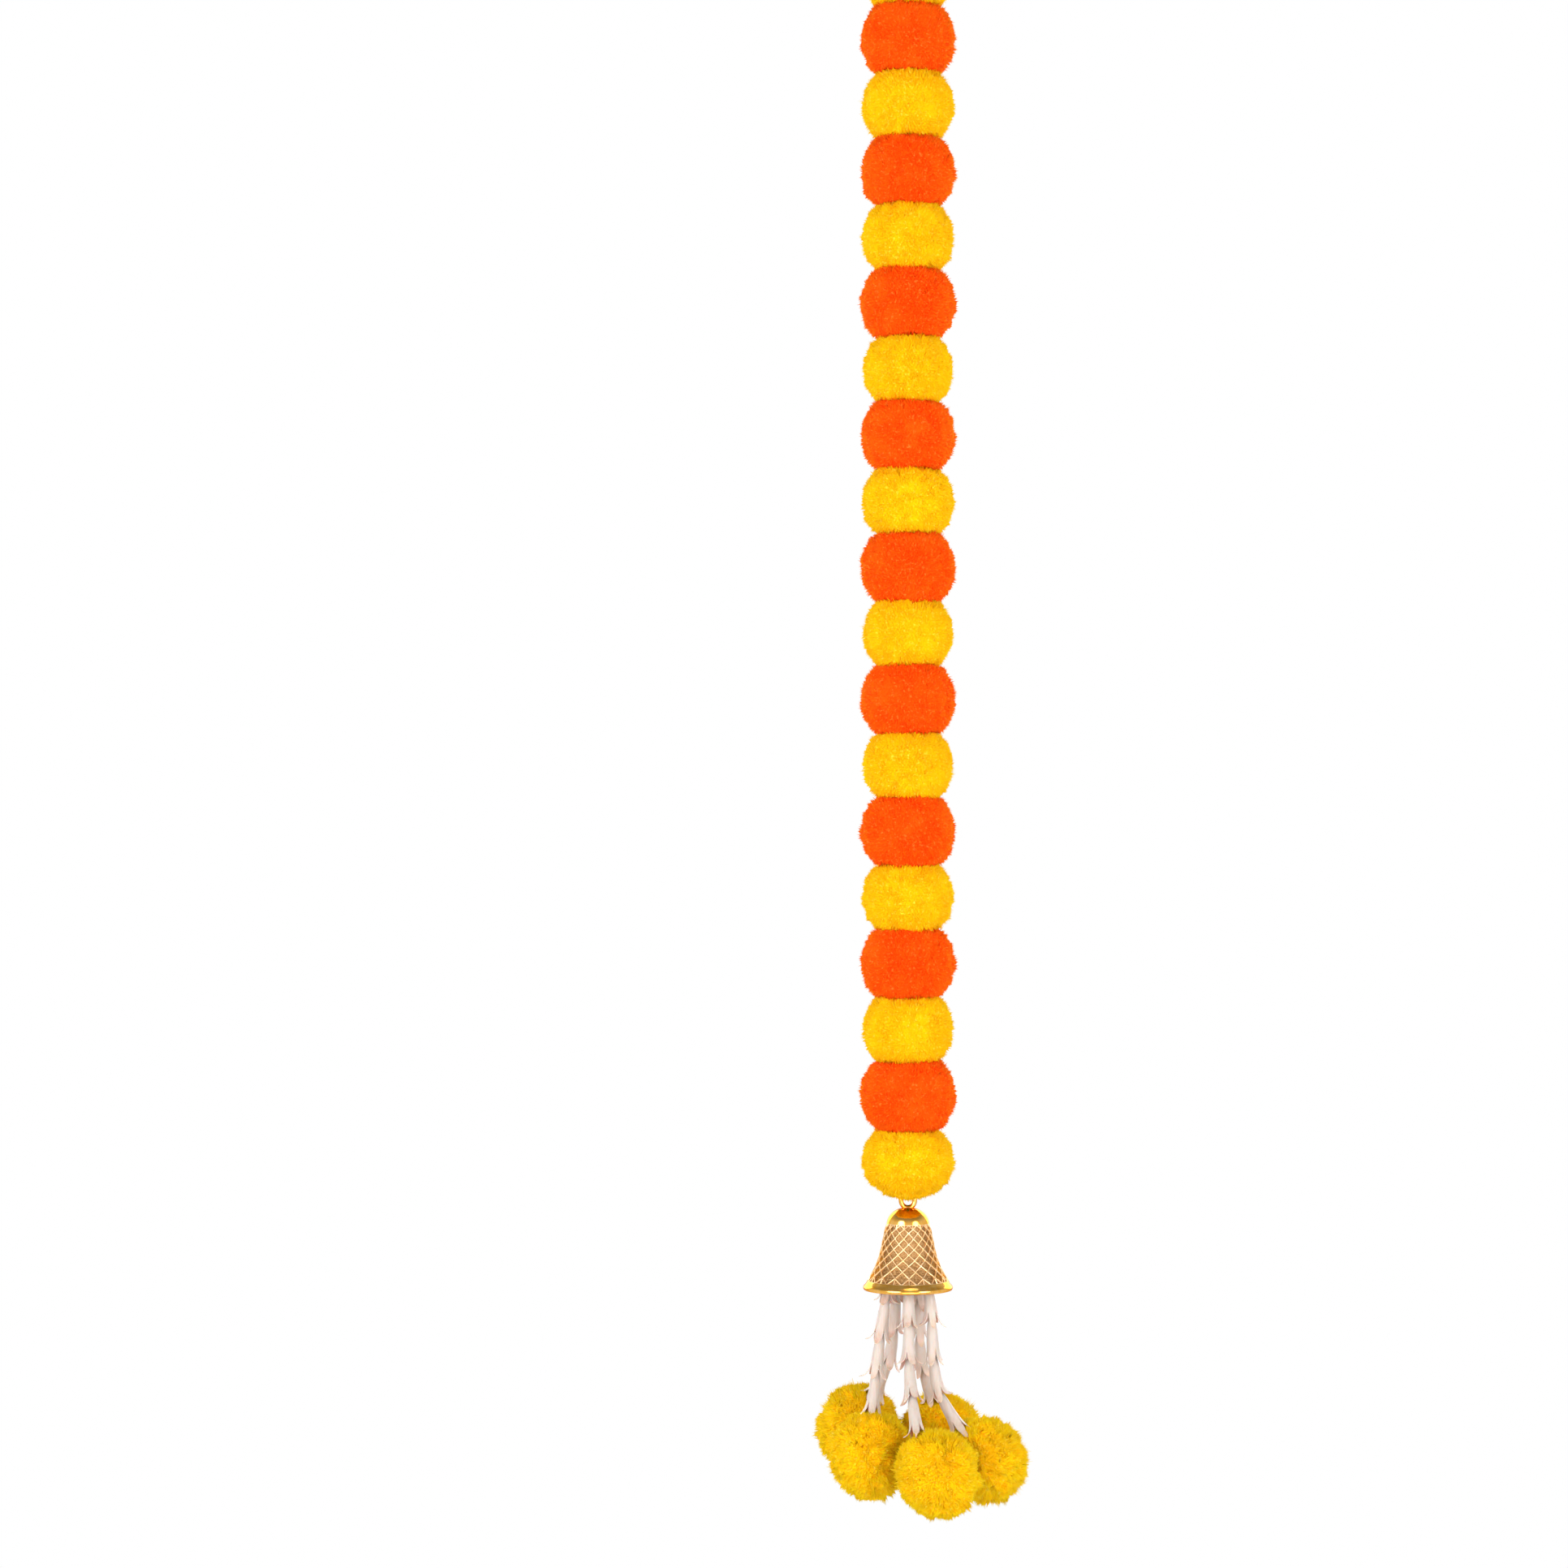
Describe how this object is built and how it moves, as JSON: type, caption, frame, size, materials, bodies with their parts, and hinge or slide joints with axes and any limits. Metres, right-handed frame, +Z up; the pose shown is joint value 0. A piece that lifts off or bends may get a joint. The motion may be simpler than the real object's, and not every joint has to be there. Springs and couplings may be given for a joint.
{
  "type": "pompom marigold garland",
  "caption": "Hanging garland of pressed pompom flowers on one string, with a loop on top and a netted bell and a tuberose and pompom tassel below.",
  "frame": {"origin": "inside of the top loop, where a nail or hook carries the garland", "axes": "+Z up along the string, the garland hangs down along -Z, the front faces -Y"},
  "size_m": [0.1149, 0.1306, 0.967],
  "materials": {
    "yellow_yarn": "cut pompom yarn, matt and finely fuzzy",
    "orange_yarn": "cut pompom yarn, matt and finely fuzzy",
    "end_yarn": "cut pompom yarn in clumped tufts",
    "gold_bell": "gold plated moulding with polished ribs, dome and lip over a grainy ground",
    "tuberose": "thin satin petals, slightly translucent",
    "tassel_thread": "white sewing thread",
    "green_string": "twisted cord"
  },
  "bodies": {
    "root": {"flower_01": "orange_yarn", "flower_02": "yellow_yarn", "flower_03": "orange_yarn", "flower_04": "yellow_yarn", "flower_05": "orange_yarn", "flower_06": "yellow_yarn", "flower_07": "orange_yarn", "flower_08": "yellow_yarn", "flower_09": "orange_yarn", "flower_10": "yellow_yarn", "flower_11": "orange_yarn", "flower_12": "yellow_yarn", "flower_13": "orange_yarn", "flower_14": "yellow_yarn", "flower_15": "orange_yarn", "flower_16": "yellow_yarn", "flower_17": "orange_yarn", "flower_18": "yellow_yarn", "flower_19": "orange_yarn", "flower_20": "yellow_yarn", "string": "green_string", "bell": "gold_bell", "tassel_tie": "tassel_thread", "tuberose_strand_1": "tuberose", "tuberose_strand_2": "tuberose", "tuberose_strand_3": "tuberose", "tuberose_strand_4": "tuberose", "tuberose_strand_5": "tuberose", "end_pompom_1": "end_yarn", "end_pompom_2": "end_yarn", "end_pompom_3": "end_yarn", "end_pompom_4": "end_yarn", "end_pompom_5": "end_yarn"}
  },
  "joints": []
}
